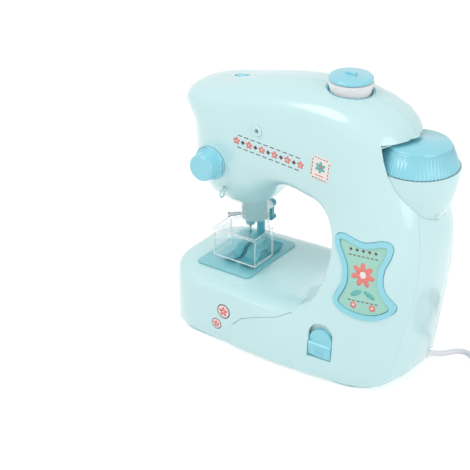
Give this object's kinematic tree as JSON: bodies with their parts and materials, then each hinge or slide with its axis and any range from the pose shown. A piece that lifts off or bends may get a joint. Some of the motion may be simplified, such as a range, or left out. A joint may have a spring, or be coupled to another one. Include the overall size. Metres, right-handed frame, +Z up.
{
  "type": "toy sewing machine",
  "caption": "Toy sewing machine in pale mint plastic with a hand wheel, thread spool, needle, presser foot, finger guard, tension dial, switch and power lead.",
  "frame": {"origin": "middle of the base at the underside of the bottom plate", "axes": "+X towards the hand wheel, -Y to the front, +Z up"},
  "size_m": [0.2542, 0.1307, 0.1975],
  "materials": {
    "mint_plastic": "moulded, soft gloss",
    "blue_plastic": "moulded, soft gloss",
    "teal_plastic": "moulded, soft gloss",
    "white_plastic": "moulded",
    "dark_plastic": "moulded",
    "clear_plastic": "clear moulded plastic",
    "steel": "plated",
    "motor_can": "zinc plated",
    "brass": "sintered",
    "thread": "spun thread",
    "cord": "soft vinyl"
  },
  "bodies": {
    "housing": {"front_shell": "mint_plastic", "rear_shell": "mint_plastic", "bed_cover": "mint_plastic", "bottom_plate": "mint_plastic", "base_screws": "steel", "case_screws": "steel", "wheel_cup": "mint_plastic", "motor": "motor_can", "gear_frame": "steel", "shaft_bushes": "brass", "needle_housing": "mint_plastic", "lifter_pin": "steel", "finger_guard": "clear_plastic", "guard_screw": "steel", "needle_plate": "teal_plastic", "dial_stud": "dark_plastic", "thread_guide_upper": "mint_plastic", "thread_guide_lower": "mint_plastic", "spool_seat": "blue_plastic", "spool_pin": "white_plastic", "spool_cap": "blue_plastic", "badge_frame": "blue_plastic", "badge_plate": "mint_plastic", "switch_body": "dark_plastic", "cord_grommet": "cord", "cord_lead": "cord", "cord_coil": "cord", "cord_tie": "dark_plastic", "cord_tail": "cord", "plug_body": "white_plastic", "plug_shell": "steel"},
    "wheel": {"hand_wheel": "blue_plastic", "wheel_shaft": "steel", "crown_gear": "white_plastic"},
    "shaft": {"main_shaft": "steel", "shaft_pinion": "white_plastic", "drive_gear": "white_plastic", "crank_disc": "steel"},
    "rotor": {"motor_pinion": "steel"},
    "needle_set": {"needle_bar": "steel", "needle_yoke": "steel", "take_up": "blue_plastic", "needle_clamp": "teal_plastic", "needle": "steel"},
    "presser": {"presser_bar": "teal_plastic", "presser_foot": "teal_plastic"},
    "lifter": {"lifter_lever": "teal_plastic"},
    "dial": {"tension_dial": "blue_plastic"},
    "slider": {"switch_slider": "blue_plastic"},
    "spool": {"spool_core": "blue_plastic", "thread_barrel": "thread", "thread_winding": "thread"}
  },
  "joints": [
    {"name": "wheel_turn", "type": "hinge", "parent": "housing", "child": "wheel", "pos_m": [0.07, 0, 0.149], "axis": [0, 0, 1], "continuous": true},
    {"name": "shaft_turn", "type": "hinge", "parent": "housing", "child": "shaft", "pos_m": [0, 0, 0.134], "axis": [1, 0, 0], "continuous": true},
    {"name": "motor_turn", "type": "hinge", "parent": "housing", "child": "rotor", "pos_m": [0, 0.014, 0.134], "axis": [1, 0, 0], "continuous": true},
    {"name": "needle_slide", "type": "slide", "parent": "housing", "child": "needle_set", "axis": [0, 0, 1], "range_m": [-0.013, 0]},
    {"name": "lifter_turn", "type": "hinge", "parent": "housing", "child": "lifter", "pos_m": [-0.0445, 0.0126, 0.0835], "axis": [0, 1, 0], "range_deg": [0, 90]},
    {"name": "presser_lift", "type": "slide", "parent": "housing", "child": "presser", "axis": [0, 0, 1], "range_m": [0, 0.005]},
    {"name": "dial_turn", "type": "hinge", "parent": "housing", "child": "dial", "pos_m": [-0.064, -0.031, 0.125], "axis": [0, 1, 0], "range_deg": [-135, 135]},
    {"name": "switch_slide", "type": "slide", "parent": "housing", "child": "slider", "axis": [0, 0, 1], "range_m": [0, 0.004]},
    {"name": "spool_spin", "type": "hinge", "parent": "housing", "child": "spool", "pos_m": [0.021, 0, 0.185], "axis": [0, 0, 1], "continuous": true}
  ],
  "couplings": [
    {"joint": "shaft_turn", "follows": "wheel_turn", "ratio": 2},
    {"joint": "motor_turn", "follows": "wheel_turn", "ratio": -5},
    {"joint": "lifter_turn", "follows": "presser_lift", "rad_per_m": 314.16}
  ]
}
